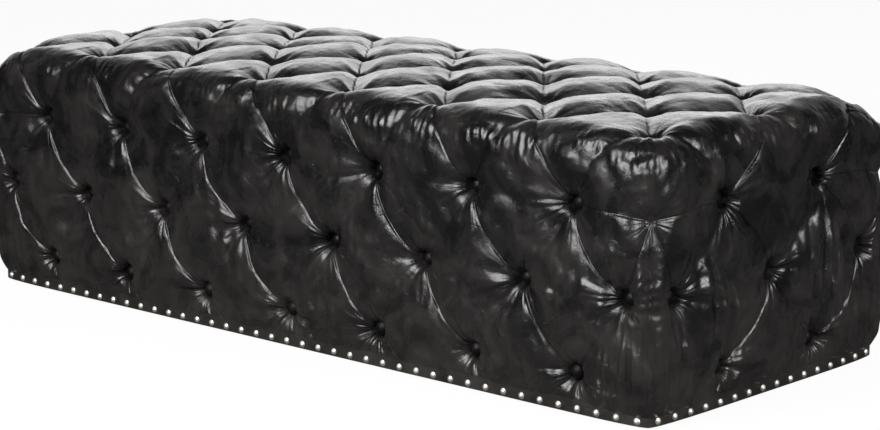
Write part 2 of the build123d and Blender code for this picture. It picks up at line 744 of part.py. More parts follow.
# Base rails: long rails run through, end rails fit between them
rail_x = LENGTH / 2 - HEM_INSET - RAIL_WIDTH
rail_y = WIDTH / 2 - HEM_INSET - RAIL_WIDTH
plate = Solid.extrude(Face(hem_outline(RAIL_DEPTH, RAIL_Z)), (0, 0, RAIL_HEIGHT))
middle = plate
for name, sign in (("front", -1), ("back", 1)):
    cut = Plane((0, sign * rail_y, 0), z_dir=(0, sign, 0))
    save("base_rail_" + name, drilled(plate.split(cut, keep=Keep.TOP), under_holes + nail_holes))
    middle = middle.split(cut, keep=Keep.BOTTOM)
for name, sign in (("left", -1), ("right", 1)):
    cut = Plane((sign * rail_x, 0, 0), z_dir=(sign, 0, 0))
    save("base_rail_" + name, drilled(middle.split(cut, keep=Keep.TOP), under_holes + nail_holes))

# Corner posts, top battens
corners = (("front_left", -1, -1), ("front_right", 1, -1), ("back_left", -1, 1), ("back_right", 1, 1))
for name, sx, sy in corners:
    x0, x1 = sorted((sx * (BOX_X - POST), sx * BOX_X))
    y0, y1 = sorted((sy * (BOX_Y - POST), sy * BOX_Y))
    save("corner_post_" + name, drilled(block(x0, x1, y0, y1, SKIRT_Z, DECK_Z), wood_holes))
for name, sign in (("front", -1), ("back", 1)):
    y0, y1 = sorted((sign * (BOX_Y - STUD_DEPTH), sign * BOX_Y))
    save("top_batten_" + name, block(-BOX_X + POST, BOX_X - POST, y0, y1, BATTEN_Z, DECK_Z))
for name, sign in (("left", -1), ("right", 1)):
    x0, x1 = sorted((sign * (BOX_X - STUD_DEPTH), sign * BOX_X))
    save("top_batten_" + name, block(x0, x1, -BOX_Y + POST, BOX_Y - POST, BATTEN_Z, DECK_Z))

# Ribs across the box: two studs, a deck bearer and a base stretcher each
stud_y = BOX_Y - STUD_DEPTH
for number, x in enumerate(rib_x, 1):
    x0 = x - STUD_THICKNESS / 2
    x1 = x + STUD_THICKNESS / 2
    save(f"stud_front_{number}", drilled(block(x0, x1, -BOX_Y, -stud_y, SKIRT_Z, BATTEN_Z), panel_screws))
    save(f"stud_back_{number}", drilled(block(x0, x1, stud_y, BOX_Y, SKIRT_Z, BATTEN_Z), panel_screws))
    bearer = block(x0, x1, -stud_y, stud_y, DECK_Z - BEARER_HEIGHT, DECK_Z)
    save(f"deck_bearer_{number}", drilled(bearer, deck_screws))
    wide = STRETCHER_WIDTH / 2
    save(f"base_stretcher_{number}", block(x - wide, x + wide, -rail_y, rail_y, RAIL_Z, SKIRT_Z))
save_group("panel_screws", panel_screws)
save_group("deck_screws", deck_screws)

# Underside: bottoming cloth, staples and glides
cloth = Solid.extrude(Face(hem_outline(CLOTH_INSET, CLOTH_Z)), (0, 0, CLOTH))
save("bottom_cloth", drilled(cloth, under_holes))
save_group("cloth_staples", staples)
save_group("glides", glides)
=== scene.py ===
# %% [markdown]
# # A deep-buttoned leather footstool
# The stool is a long wooden box under foam and one big leather cover. Buttons pull the leather
# down in a diamond lattice on the top and on all four sides, and the leather between two buttons
# lies in a pleat. The CAD frame already holds every solid piece at its real place, so this
# script makes the leather, and gives every piece the finish of the real material.

# %% The CAD frame
import math
import bpy
import numpy as np
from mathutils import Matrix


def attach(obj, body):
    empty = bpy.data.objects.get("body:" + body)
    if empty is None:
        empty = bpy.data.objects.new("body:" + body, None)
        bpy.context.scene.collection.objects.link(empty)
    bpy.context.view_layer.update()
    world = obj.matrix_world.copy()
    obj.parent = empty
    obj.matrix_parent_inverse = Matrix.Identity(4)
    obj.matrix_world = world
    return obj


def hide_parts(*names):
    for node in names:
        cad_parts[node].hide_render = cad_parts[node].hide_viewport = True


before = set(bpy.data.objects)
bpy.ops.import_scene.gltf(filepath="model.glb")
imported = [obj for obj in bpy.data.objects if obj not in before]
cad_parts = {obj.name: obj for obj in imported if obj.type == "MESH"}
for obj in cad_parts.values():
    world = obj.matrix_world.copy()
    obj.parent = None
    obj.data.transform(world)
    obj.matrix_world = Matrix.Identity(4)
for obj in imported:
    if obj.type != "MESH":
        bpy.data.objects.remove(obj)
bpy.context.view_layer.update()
MM = 0.001

# %% [markdown]
# ## The camera
# The photograph looks along the stool's long side from a little above, through a long lens, so
# the perspective is mild. The values come from fitting the rows of buttons, whose places on the
# stool are known, to where they appear in the picture. A sensor of 36 mm and a focal length give
# the same field of view as the focal length in pixels over the picture's 880 pixels.

# %% Camera
AZIMUTH = math.radians(42.88)
ELEVATION = math.radians(11.5)
ROLL = math.radians(-0.32)
DISTANCE = 4.335
TARGET = np.array([0.0680, 0.0, 0.1818])
FOCAL_PIXELS = 2620.8
PICTURE_WIDTH = 880
SENSOR_WIDTH = 36

back = np.array([math.sin(AZIMUTH) * math.cos(ELEVATION),
                 -math.cos(AZIMUTH) * math.cos(ELEVATION),
                 math.sin(ELEVATION)])
bpy.ops.object.select_all(action="DESELECT")
bpy.ops.object.camera_add(location=TARGET + back * DISTANCE,
                          rotation=(math.pi / 2 - ELEVATION, 0, AZIMUTH))
camera = bpy.context.object
camera.data.sensor_width = SENSOR_WIDTH
camera.data.lens = FOCAL_PIXELS * SENSOR_WIDTH / PICTURE_WIDTH
camera.data.dof.use_dof = False
camera.rotation_euler.rotate_axis("Z", ROLL)
bpy.context.scene.camera = camera
print("lens", round(camera.data.lens, 1), "mm")

# %% [markdown]
# ## The unfolded leather
# An upholsterer marks the buttons on flat leather. The same idea keeps the modelling simple: the
# stool's box is unfolded like a carton, with the top in the middle and one side on each of its
# edges, and every point of the mesh keeps its place on that flat sheet. Distances to buttons and
# pleats are then measured on the sheet, so a pleat runs over the top edge without a break.
# All sizes here are in millimetres.

# %% Sizes of the stool and of the button lattice
LENGTH, WIDTH, HEIGHT = 1500.0, 600.0, 440.0
TOP_CROWN = 10.0
EDGE_Z = HEIGHT - TOP_CROWN
HEM_Z = 4.0
RAIL_TOP_Z = 29.0
COLUMNS, ROWS = 7, 2
END_MARGIN, SIDE_MARGIN = 57.0, 68.0
UPPER_ROW, MIDDLE_ROW, LOWER_ROW = 312.0, 187.0, 62.0
HALF_X = (LENGTH - 2 * END_MARGIN) / COLUMNS / 2
HALF_Y = (WIDTH - 2 * SIDE_MARGIN) / ROWS / 2
MESH_STEP = 3.0
TINY = 1e-9
print("button pitch", 2 * HALF_X, 2 * HALF_Y)

# %% [markdown]
# ## A box of even squares
# The sheet is a grid of 3 mm squares: fine enough for the small wrinkles round a button, which
# are 6 to 12 mm wide. The top is one grid and the four sides are a band of rows that hangs from
# its rim, so neighbouring faces share their points and the leather has no seam.

# %% Grid points on the sharp box
top_x = np.linspace(-LENGTH / 2, LENGTH / 2, round(LENGTH / MESH_STEP) + 1)
top_y = np.linspace(-WIDTH / 2, WIDTH / 2, round(WIDTH / MESH_STEP) + 1)
nx, ny = len(top_x) - 1, len(top_y) - 1
drop = np.linspace(0, EDGE_Z - HEM_Z, round((EDGE_Z - HEM_Z) / MESH_STEP) + 1)[1:]

grid_x, grid_y = np.meshgrid(top_x, top_y, indexing="ij")
top_points = np.stack([grid_x.ravel(), grid_y.ravel(), np.full(grid_x.size, EDGE_Z)], axis=1)
top_index = np.arange(grid_x.size).reshape(nx + 1, ny + 1)

rim = np.concatenate([top_index[:-1, 0], top_index[-1, :-1],
                      top_index[:0:-1, -1], top_index[0, :0:-1]])
loop = len(rim)
side_points = np.concatenate([top_points[rim] - [0, 0, down] for down in drop])
sharp = np.concatenate([top_points, side_points])
side_index = (len(top_points) + np.arange(len(side_points))).reshape(len(drop), loop)
side_rows = np.concatenate([rim[None, :], side_index])
print("points", len(sharp))

# %% Flat place of every point on the unfolded sheet
# Sides are numbered 0 front, 1 right, 2 back, 3 left; a corner belongs to the side it starts.
OUTWARD = np.array([[0, -1], [1, 0], [0, 1], [-1, 0]])
hang = np.tile(np.repeat(range(4), (nx, ny, nx, ny)), len(drop))
flat = sharp[:, :2].copy()
flat[len(top_points):] += OUTWARD[hang] * (EDGE_Z - side_points[:, 2])[:, None]
print("flat sheet", flat.min(axis=0), flat.max(axis=0))

# %% Measures that the folds use
# The places x, y and z are those on the sharp box.
x, y, z = sharp.T
is_side = np.arange(len(sharp)) >= len(top_points)
long_side = np.concatenate([np.zeros(len(top_points), bool), np.isin(hang, (0, 2))])
inward_x, inward_y = LENGTH / 2 - abs(x), WIDTH / 2 - abs(y)
from_rim = np.where(is_side, EDGE_Z - z, -np.minimum(inward_y, inward_x))
from_corner = np.where(long_side, inward_x, inward_y)
near_long = np.where(is_side, long_side, inward_y < inward_x)
run_on = np.where(near_long, x, y)

# Signed way round the nearest upright corner, which runs on from one side to the next.
corner_x, corner_y = np.where(x < 0, -1, 1), np.where(y < 0, -1, 1)
round_corner = corner_x * y - corner_y * x - corner_x * corner_y * (WIDTH - LENGTH) / 2


def bell(distance, reach):
    """A smooth hump, 1 in the middle and about a third at its reach."""
    return np.exp(-(distance / reach) ** 2)


def ramp(value, start, stop):
    """A share from 0 at start to 1 at stop, and level beyond them."""
    return np.clip((value - start) / (stop - start), 0, 1)


print("side points", is_side.sum())

# %% [markdown]
# ## Rounding the box
# A padded box has no sharp edges. Within one radius of the rim the sheet is rolled round a quarter
# circle, and in plan the upright corners are rounded a little tighter. The way the sheet faces is
# kept as well, because tufts are sunk along it. The top rises to its middle, as foam does.

# %% Rounded box and the way it faces
EDGE_ROUND = 50.0
CORNER_POWER = 3.5

half_plan = np.array([LENGTH / 2, WIDTH / 2])
plan_core = np.clip(sharp[:, :2], EDGE_ROUND - half_plan, half_plan - EDGE_ROUND)
out = sharp[:, :2] - plan_core
reach_out = np.abs(out).max(axis=1)
outward = out / np.maximum(np.linalg.norm(out, axis=1), TINY)[:, None]
below_rim = EDGE_Z - z
bend = np.radians(45) * (reach_out + np.minimum(below_rim, EDGE_ROUND)) / EDGE_ROUND
squareness = np.maximum((np.abs(outward) ** CORNER_POWER).sum(axis=1), TINY)
stretch = np.where(reach_out > 0, squareness ** (-1 / CORNER_POWER), 0)
facing = np.concatenate([outward * np.sin(bend)[:, None], np.cos(bend)[:, None]], axis=1)

across = np.clip(1 - (y / (HALF_Y * ROWS)) ** 2, 0, 1)
along = np.clip(1 - (x / (HALF_X * COLUMNS)) ** 4, 0, 1)
crown = np.where(is_side, 0, TOP_CROWN * across * along)

rounded = np.empty_like(sharp)
rounded[:, :2] = plan_core + outward * (stretch * EDGE_ROUND * np.sin(bend))[:, None]
rounded[:, 2] = EDGE_Z - EDGE_ROUND + EDGE_ROUND * np.cos(bend) + crown
rounded[:, 2] -= np.maximum(below_rim - EDGE_ROUND, 0)
from_tip = np.hypot(LENGTH / 2 - abs(rounded[:, 0]), WIDTH / 2 - abs(rounded[:, 1]))
print("rounded", rounded.min(axis=0).round(1), rounded.max(axis=0).round(1))

# %% [markdown]
# ## Where the buttons and pleats are
# On the top the buttons stand in five staggered rows. Each side has three more rows, and the
# pleats join every button to its diagonal neighbours, over the top edge as well. From the lowest
# row a pleat runs on down to the hem, and at the upright corners the pleats of two sides meet in a
# fork. All places are in flat coordinates; a side's own are u along it and q down from the rim.

# %% Buttons and pleats of the top
TOP_WAY = (0.35, -1.0)
buttons = []
pleats = []
for i in range(2 * COLUMNS + 1):
    for j in range(2 * ROWS + 1):
        if (i + j) % 2 == 0:
            buttons.append(((i - COLUMNS) * HALF_X, (j - ROWS) * HALF_Y, "top"))
for i in range(2 * COLUMNS):
    for j in range(2 * ROWS):
        rises = (i + j) % 2 == 0
        start = ((i - COLUMNS) * HALF_X, (j + (not rises) - ROWS) * HALF_Y)
        end = ((i + 1 - COLUMNS) * HALF_X, (j + rises - ROWS) * HALF_Y)
        pleats.append((start, end, "top" if rises else "top_crease", TOP_WAY))
print("top buttons", len(buttons), "pleats", len(pleats))

# %% Buttons and pleats of the four sides
# Each side: tufts, half pitch, half length, margin on the top, way down, flat place of (u, q).
SIDES = (
    (COLUMNS, HALF_X, LENGTH / 2, SIDE_MARGIN, (0, -1), lambda u, q: (u, -WIDTH / 2 - q)),
    (ROWS, HALF_Y, WIDTH / 2, END_MARGIN, (1, 0), lambda u, q: (LENGTH / 2 + q, u)),
    (COLUMNS, HALF_X, LENGTH / 2, SIDE_MARGIN, (0, 1), lambda u, q: (-u, WIDTH / 2 + q)),
    (ROWS, HALF_Y, WIDTH / 2, END_MARGIN, (-1, 0), lambda u, q: (-LENGTH / 2 - q, -u)),
)
upper_q, middle_q, lower_q = EDGE_Z - UPPER_ROW, EDGE_Z - MIDDLE_ROW, EDGE_Z - LOWER_ROW
hem_q = EDGE_Z - RAIL_TOP_Z
FORK_DROP = 1.0
fork_q = upper_q + FORK_DROP
HEM_SLANT = 16.0
for count, half, half_side, margin, down, place in SIDES:
    is_long = count == COLUMNS
    upper_kinds = ("side", "soft") if is_long else ("soft", "arch")
    slant = HEM_SLANT if is_long else -HEM_SLANT
    column = [(k - count) * half for k in range(2 * count + 1)]
    for k, u in enumerate(column):
        if k % 2 == 0:
            buttons.append((*place(u, middle_q), "side"))
            continue
        upper, lower = place(u, upper_q), place(u, lower_q)
        buttons += [(*upper, "side"), (*lower, "side")]
        pleats.append((lower, place(u + slant, hem_q), "hem", down))
        for beside in (column[k - 1], column[k + 1]):
            falls = (u > beside) == is_long
            middle = place(beside, middle_q)
            edge_kind = "edge" if falls else "soft_edge"
            pleats.append((place(beside, -margin), upper, edge_kind, down))
            pleats.append((middle, upper, upper_kinds[falls], down))
            pleats.append((middle, lower, "side" if falls else "soft", down))
    for sign in (-1, 1):
        fork = place(sign * half_side, fork_q)
        pleats.append((place(sign * (count - 1) * half, upper_q), fork, "corner", down))
        pleats.append((fork, place(sign * count * half, middle_q), "fork", down))
print("buttons", len(buttons), "pleats", len(pleats))

# %% [markdown]
# ## How deep the leather lies
# Three things pull the leather in. Along a pleat it folds into a shallow valley that bows
# downwards, because leather is cut with some to spare, and a pleat that is drawn tight also has a
# thin groove along its line. Round a button it drops into a steep funnel with a wide, shallow
# mouth. And round each button the spare leather is gathered into ridges that run out like rays.
# Real ones are never even, so their bows, lengths and heights come from a seeded random draw.

# %% Pleats
# Each kind: depth, reach below the line, reach above it, and bow.
PLEATS = {
    "top": (20.0, 40.0, 82.0, 3.0),
    "top_crease": (12.0, 32.0, 56.0, 4.0),
    "side": (3.6, 44.0, 56.0, 11.0),
    "soft": (5.0, 30.0, 48.0, 6.0),
    "edge": (4.0, 52.0, 44.0, 11.0),
    "soft_edge": (6.5, 34.0, 40.0, 6.0),
    "hem": (5.0, 22.0, 24.0, 2.0),
    "arch": (4.0, 46.0, 40.0, -9.0),
    "corner": (2.6, 26.0, 38.0, -3.0),
    "fork": (2.6, 24.0, 24.0, 0.0),
}
# Pleats that are drawn tight, and how sharp their thin fold is.
CRISP = {"side": 1.2, "edge": 1.4, "arch": 0.7, "corner": 0.8, "fork": 0.6, "hem": 0.6}
CRISP_REACH = 14.0
NO_FOLD = 30.0
PLEAT_ROOM = 60.0
rng = np.random.default_rng(7)


def nearby(places, margin):
    """Points of the sheet in the box round some flat places."""
    low = np.min(places, axis=0) - margin
    high = np.max(places, axis=0) + margin
    inside = (flat >= low) & (flat <= high)
    return np.nonzero(inside[:, 0] & inside[:, 1])[0]


def along_line(start, end, down, bow):
    """Points near a bowed line: which, their share of the way, how far below it, and how far off."""
    start, end = np.array(start), np.array(end)
    here = nearby([start, end], PLEAT_ROOM)
    length = np.linalg.norm(end - start)
    run = (end - start) / length
    lower = np.array([-run[1], run[0]])
    lower *= 1 if lower @ down > 0 else -1
    free = (flat[here] - start) @ run / length
    share = np.clip(free, 0, 1)
    under = (flat[here] - start) @ lower - bow * 4 * share * (1 - share)
    return here, share, under, np.hypot(under, np.abs(free - share) * length)


valley = np.zeros(len(sharp))
fold_gap = np.full(len(sharp), NO_FOLD)
fold_line = np.full(len(sharp), NO_FOLD)
fold_share = np.zeros(len(sharp))
for start, end, kind, down in pleats:
    deep, reach_below, reach_above, bow = PLEATS[kind]
    here, share, under, gap = along_line(start, end, down, bow * rng.uniform(0.6, 1.3))
    lively = rng.uniform(0.85, 1.15) + 0.22 * np.sin(rng.uniform(5, 11) * share + rng.uniform(0, 6.3))
    slope = np.clip(1 - gap / np.where(under > 0, reach_below, reach_above), 0, 1) ** 2
    valley[here] = np.maximum(valley[here], deep * lively * slope)
    if kind in CRISP:
        closer = gap < fold_gap[here]
        fades = np.clip(10 * share * (1 - share), 0, 1) * ramp(gap, CRISP_REACH, CRISP_REACH - 6)
        fold_gap[here[closer]] = gap[closer]
        fold_line[here[closer]] = (np.sign(under) * gap)[closer]
        fold_share[here[closer]] = (CRISP[kind] * lively * fades)[closer]
print("valleys", valley.max().round(1))

# %% Funnels, and the way from every point to its nearest button
HOLE = {"top": 30.0, "side": 26.0}
HOLE_REACH = 12.0
MOUTH, MOUTH_REACH = 17.0, 25.0
FORK_DIP, FORK_REACH = 4.5, 16.0
RAYS = {"top": 0.5, "side": 1.0, "fork": 0.45}
BUTTON_ROOM = 140.0
FAR_OFF = 200.0
funnel = np.zeros(len(sharp))
pucker = np.tile([BUTTON_ROOM, BUTTON_ROOM, 0.0], (len(sharp), 1))
nearest = np.full(len(sharp), FAR_OFF)
second = np.full(len(sharp), FAR_OFF)


def gather_round(here, offset, kind):
    """Gives points their way to this centre where it is the nearest, and says how far it is."""
    reach = np.hypot(*offset.T)
    closer = reach < nearest[here]
    second[here] = np.where(closer, nearest[here], np.minimum(second[here], reach))
    nearest[here[closer]] = reach[closer]
    pucker[here[closer], :2] = offset[closer]
    pucker[here[closer], 2] = RAYS[kind]
    return reach


for button_x, button_y, kind in buttons:
    here = nearby([(button_x, button_y)], BUTTON_ROOM)
    reach = gather_round(here, flat[here] - (button_x, button_y), kind)
    cone = HOLE[kind] * np.exp(-(reach / HOLE_REACH) ** 1.7) + MOUTH * np.exp(-reach / MOUTH_REACH)
    funnel[here] = np.maximum(funnel[here], cone)

here = np.nonzero(is_side)[0]
reach = gather_round(here, np.stack([round_corner, from_rim - fork_q], axis=1)[here], "fork")
funnel[here] = np.maximum(funnel[here], FORK_DIP * np.exp(-reach / FORK_REACH))
pucker[:, 2] *= ramp(second - nearest, 0, 40) * ramp(nearest, 115, 20)
print("funnels", funnel.max().round(1))

# %% Ridges that run out from the buttons
RIDGES, RIDGE_HEIGHT = 14, 4.0
SHORTEST_RIDGE, LONGEST_RIDGE = 18, 48
RIDGE_ROOM = 110
ridge = np.zeros(len(sharp))
for button_x, button_y, kind in buttons:
    here = nearby([(button_x, button_y)], RIDGE_ROOM)
    offset = flat[here] - (button_x, button_y)
    reach = np.hypot(*offset.T)
    twist = rng.normal(0, 0.004)
    angle = (np.arctan2(offset[:, 1], offset[:, 0]) + twist * reach) % (2 * np.pi)
    share = np.cumsum(rng.uniform(0.5, 1.6, RIDGES))
    stops = share / share[-1] * 2 * np.pi
    starts = np.concatenate([[0], stops[:-1]])
    sector = np.minimum(np.searchsorted(stops, angle), RIDGES - 1)
    turned = np.clip((angle - starts[sector]) / (stops - starts)[sector], 0, 1)
    tall = (RIDGE_HEIGHT * rng.uniform(0.2, 1, RIDGES))[sector] * (0.7 if kind == "top" else 1)
    length = rng.uniform(SHORTEST_RIDGE, LONGEST_RIDGE, RIDGES)[sector]
    fade = ramp(reach, 5, 14) * np.exp(-np.maximum(reach - 14, 0) / length)
    fade *= ramp(reach, RIDGE_ROOM, RIDGE_ROOM - 30)
    ridge[here] += tall * fade * (np.sin(np.pi * turned) ** 0.7 - 0.5)
print("ridges", ridge.min().round(1), ridge.max().round(1))

# %% [markdown]
# ## Slack leather
# Between the buttons the leather is never quite tight. It has wide, slow waves, a few loose folds
# that run from one button towards the next, and gathers: short ones along the top edge, crumples
# at its corners, small cross folds between the two buttons of an upright corner, and long ones
# that hang down the sides. Each is a sum of turned sines, wide or long as the fold is.

# %% Slack and loose folds
def ripples(places, seed, waves=18):
    """Smooth random waves, about one unit long, from a sum of turned sines."""
    draw = np.random.default_rng(seed)
    total = np.zeros(len(places))
    for k in range(waves):
        turn = draw.uniform(0, 2 * np.pi)
        pitch = draw.uniform(0.6, 1.8)
        phase = places @ (np.cos(turn), np.sin(turn)) * 2 * np.pi / pitch
        total += np.sin(phase + draw.uniform(0, 6.3))
    return total / math.sqrt(waves / 2)


looseness = np.where(is_side, 1.0, 0.5)
slack = 1.2 * ripples(flat / 170, 1)
slack += looseness * (1.2 * ripples(flat / 60, 2) + 0.2 * ripples(flat / 24, 3))

FOLD_DEPTH = 4.0
# Bow, share of the way that it runs, height and width of a loose fold: the least and the most.
FOLD_LEAST = (-6, 0.3, 0.4, 3.5)
FOLD_MOST = (22, 0.65, 1.0, 6.5)
loose_fold = np.zeros(len(sharp))
for count, half, half_side, margin, down, place in SIDES:
    for row, first in ((upper_q, 1), (middle_q, 0), (lower_q, 1)):
        for k in range(first, 2 * count - 1, 2):
            bow, part, tall, width = rng.uniform(FOLD_LEAST, FOLD_MOST)
            ends = [place((k - count) * half, row), place((k + 2 - count) * half, row)]
            if rng.uniform() < 0.5:
                ends.reverse()
            here, share, under, gap = along_line(*ends, down, bow)
            fade = np.clip(1 - share / part, 0, 1) ** 0.7 * ramp(share, 0, 0.08)
            loose_fold[here] += FOLD_DEPTH * tall * fade * bell(gap, width)
print("loose folds", loose_fold.max().round(1))

# %% Gathers
patchy = np.clip(0.6 + 0.6 * ripples(flat / 120, 5), 0.15, 1.4)
rim_band = patchy * bell(from_rim - 22, 24) * (1 - 0.5 * bell(from_tip, 80))
crumple = bell(from_tip, 95) * bell(from_rim - 30, 45)
waist = is_side * bell(from_corner, 34) * bell(z - MIDDLE_ROW - 8, 42)
shin = is_side * bell(from_corner, 120) * bell(z - LOWER_ROW - 20, 60)
hanging = is_side * ramp(z, 330, 250) * np.clip(0.5 + ripples(flat / 150, 9), 0, 1.2)

# Each gather: height, where it is, its way across and width, its way along and length, and seed.
gathers = (
    (0.95, rim_band, run_on, 10, from_rim, 65, 4),
    (0.9, crumple, round_corner, 26, from_rim, 40, 11),
    (0.9, waist, z, 15, round_corner, 70, 6),
    (1.8, shin, run_on, 17, z, 150, 8),
    (np.where(long_side, 0.7, 1.9), hanging, run_on, 24, z, 240, 10),
)
gather = np.zeros(len(sharp))
for tall, where, cross_way, width, long_way, length, seed in gathers:
    gather += tall * where * ripples(np.stack([cross_way / width, long_way / length], axis=1), seed)
print("gathers", gather.min().round(1), gather.max().round(1))

# %% [markdown]
# ## The tufted shape
# All of these are added up and sunk along the way the sheet faces. Folds fade inside the funnels,
# at the upright corners and at the hem, where the leather is held. Low on the sides there is
# little foam over the base rails, so the depth is capped by the room there. The stool is an old
# one, so its top corners droop and the far edge of the top has sagged, as the picture shows.

# %% The tufted shape
GROOVE, GROOVE_REACH = 0.7, 3.6
LOW_EASE = 6.0
RAIL_ROOM, RAIL_SLOPE, TOP_ROOM = 11.5, 1.1, 60.0
calm = np.clip(1 - funnel / 34, 0, 1)
steady = np.where(is_side, ramp(from_corner, 0, 40), 1)
low_calm = np.where(is_side, ramp(z, 18, 44), 1)
easing = LOW_EASE * is_side * ramp(z, 120, 30) ** 2
groove = GROOVE * fold_share * bell(fold_gap, GROOVE_REACH)
uneven = valley + groove + loose_fold + slack * steady + gather
depth = funnel + (uneven * calm - ridge * steady) * low_calm + easing
room = np.where(is_side, RAIL_ROOM + RAIL_SLOPE * np.maximum(z - RAIL_TOP_Z, 0), TOP_ROOM)
shape = rounded - facing * np.minimum(depth, room)[:, None]

NEAR_DROOP, LEFT_DROOP, RIGHT_DROOP, FAR_DROOP = 16.0, 34.0, 28.0, 12.0
DROOP_REACH = 60.0
FAR_SAG, SAG_START = 14.0, 120.0
droop = np.where(x > 0, np.where(y > 0, RIGHT_DROOP, NEAR_DROOP), np.where(y > 0, FAR_DROOP, LEFT_DROOP))
high_up = ramp(z, MIDDLE_ROW, EDGE_Z)
shape[:, 2] -= droop * bell(from_tip, DROOP_REACH) * high_up ** 2
far_share = (0.6 + 0.4 * x / (LENGTH / 2)) * ramp(y, SAG_START, WIDTH / 2) ** 2
shape[:, 2] -= FAR_SAG * far_share * high_up
print("depth", depth.min().round(1), depth.max().round(1))

# %% [markdown]
# ## The hem
# At the bottom the leather is drawn in over the rails and nailed behind a narrow band, so the last
# rows of the sheet are moved to the rails' outline. That outline is straight along most of a side
# and bends in towards each corner on a parabola, so its place there is the root of a quadratic.

# %% Hem
HEM_INSET, HEM_CORNER, HEM_START, HEM_END = 12.3, 10.0, 46.0, 15.0
HEM_EASE = 2.2
half_along = np.where(long_side, LENGTH / 2, WIDTH / 2)
half_across = np.where(long_side, WIDTH / 2, LENGTH / 2)
toe = half_along - HEM_INSET - HEM_CORNER
turn_at = half_along - EDGE_ROUND
drawn_in = turn_at + (abs(run_on) - turn_at) * (toe - turn_at) / EDGE_ROUND
hem_run = np.where(abs(run_on) > turn_at, drawn_in, abs(run_on))
straight = half_along - np.where(long_side, END_MARGIN + HALF_X, SIDE_MARGIN + HALF_Y)
square = toe - 2 * (toe - HEM_CORNER) + straight
linear_part = 2 * (toe - HEM_CORNER - straight)
under_root = np.maximum(linear_part ** 2 - 4 * square * (straight - hem_run), 0)
bent = np.where(hem_run > straight, (np.sqrt(under_root) - linear_part) / (2 * square), 0)
hem_u = np.sign(run_on) * hem_run
hem_v = np.sign(np.where(long_side, y, x)) * (half_across - HEM_INSET - HEM_CORNER * bent ** 2)
hem_xy = np.where(long_side[:, None], np.stack([hem_u, hem_v], axis=1), np.stack([hem_v, hem_u], axis=1))
pull = (is_side * ramp(z, HEM_START, HEM_END) ** HEM_EASE)[:, None]
shape = shape * (1 - pull) + np.concatenate([hem_xy, z[:, None]], axis=1) * pull
print("hem", shape[side_rows[-1]].min(axis=0).round(1), shape[side_rows[-1]].max(axis=0).round(1))

# %% [markdown]
# ## Letting the foam push
# Foam presses the leather outwards wherever twine and nails don't hold it. Blender's cloth finds
# that balance: a coarse copy of the sheet, held at the buttons and at the hem, is blown up by a
# little pressure without gravity. How far its points moved is capped, because a cover is stretched
# tight over its foam, and is carried over to the fine grid and smoothed there.

# %% Cloth under pressure
COARSE = 4
PRESSURE = 4.0
FRAMES = 20
LEATHER_MASS = 0.3
SWELL_CAP = 7.0
SMOOTHING = 10
HELD_FUNNEL = 22.0


def squares(top, ring):
    """Faces of the top grid and of the rows of a ring that hangs from its rim."""
    lid = np.stack([top[:-1, :-1], top[1:, :-1], top[1:, 1:], top[:-1, 1:]], axis=-1)
    after = np.roll(ring, -1, axis=1)
    wall = np.stack([ring[:-1], ring[1:], after[1:], after[:-1]], axis=-1)
    return np.concatenate([lid.reshape(-1, 4), wall.reshape(-1, 4)])


def between(values, kept, count):
    """Values at every row, in straight steps between those at the kept rows."""
    at = np.arange(count)
    upper = np.clip(np.searchsorted(kept, at), 1, len(kept) - 1)
    share = ((at - kept[upper - 1]) / (kept[upper] - kept[upper - 1]))[:, None, None]
    return values[upper - 1] * (1 - share) + values[upper] * share


def blown_up(places, faces, grip):
    """Where a sheet of points goes under pressure, with a share of each point held."""
    cloth_mesh = bpy.data.meshes.new("coarse_sheet")
    cloth_mesh.from_pydata((places * MM).tolist(), [], faces.tolist())
    sheet = bpy.data.objects.new("coarse_sheet", cloth_mesh)
    bpy.context.collection.objects.link(sheet)
    held = sheet.vertex_groups.new(name="held")
    for tenth in range(1, 11):
        held.add(np.nonzero(np.round(grip * 10) == tenth)[0].tolist(), tenth / 10, "REPLACE")
    cloth = sheet.modifiers.new("cloth", "CLOTH")
    cloth.settings.quality = 5
    cloth.settings.mass = LEATHER_MASS
    cloth.settings.vertex_group_mass = "held"
    cloth.settings.use_pressure = True
    cloth.settings.uniform_pressure_force = PRESSURE
    cloth.settings.effector_weights.gravity = 0
    cloth.collision_settings.use_collision = False
    cloth.point_cache.frame_end = FRAMES
    for frame_number in range(1, FRAMES + 1):
        bpy.context.scene.frame_set(frame_number)
    settled = sheet.evaluated_get(bpy.context.evaluated_depsgraph_get()).data
    moved = np.empty(len(places) * 3, np.float32)
    settled.vertices.foreach_get("co", moved)
    bpy.data.objects.remove(sheet)
    bpy.data.meshes.remove(cloth_mesh)
    bpy.context.scene.frame_set(1)
    return moved.reshape(-1, 3) / MM


print("pressure", PRESSURE, "for", FRAMES, "frames")

# %% The swell of the tufts
swell = np.zeros_like(shape)
kept_rows = np.unique(np.append(np.arange(0, len(side_rows), COARSE), len(side_rows) - 1))
lid = top_index[::COARSE, ::COARSE]
wall = side_rows[kept_rows][:, ::COARSE]
used, renumbered = np.unique(np.append(lid, wall), return_inverse=True)
coarse_faces = squares(renumbered[:lid.size].reshape(lid.shape),
                       renumbered[lid.size:].reshape(wall.shape))
low_grip = is_side * ramp(z, 70, 40)
grip = np.clip(np.maximum(funnel / HELD_FUNNEL, low_grip), 0, 1)
push = blown_up(shape[used], coarse_faces, grip[used]) - shape[used]
size = np.linalg.norm(push, axis=1)
print("cloth points", len(used), "moved mm", np.percentile(size, [50, 90, 99, 100]).round(1))
push *= (np.tanh(size / SWELL_CAP) * SWELL_CAP / np.maximum(size, TINY))[:, None]
coarse_move = np.zeros_like(shape)
coarse_move[used] = push

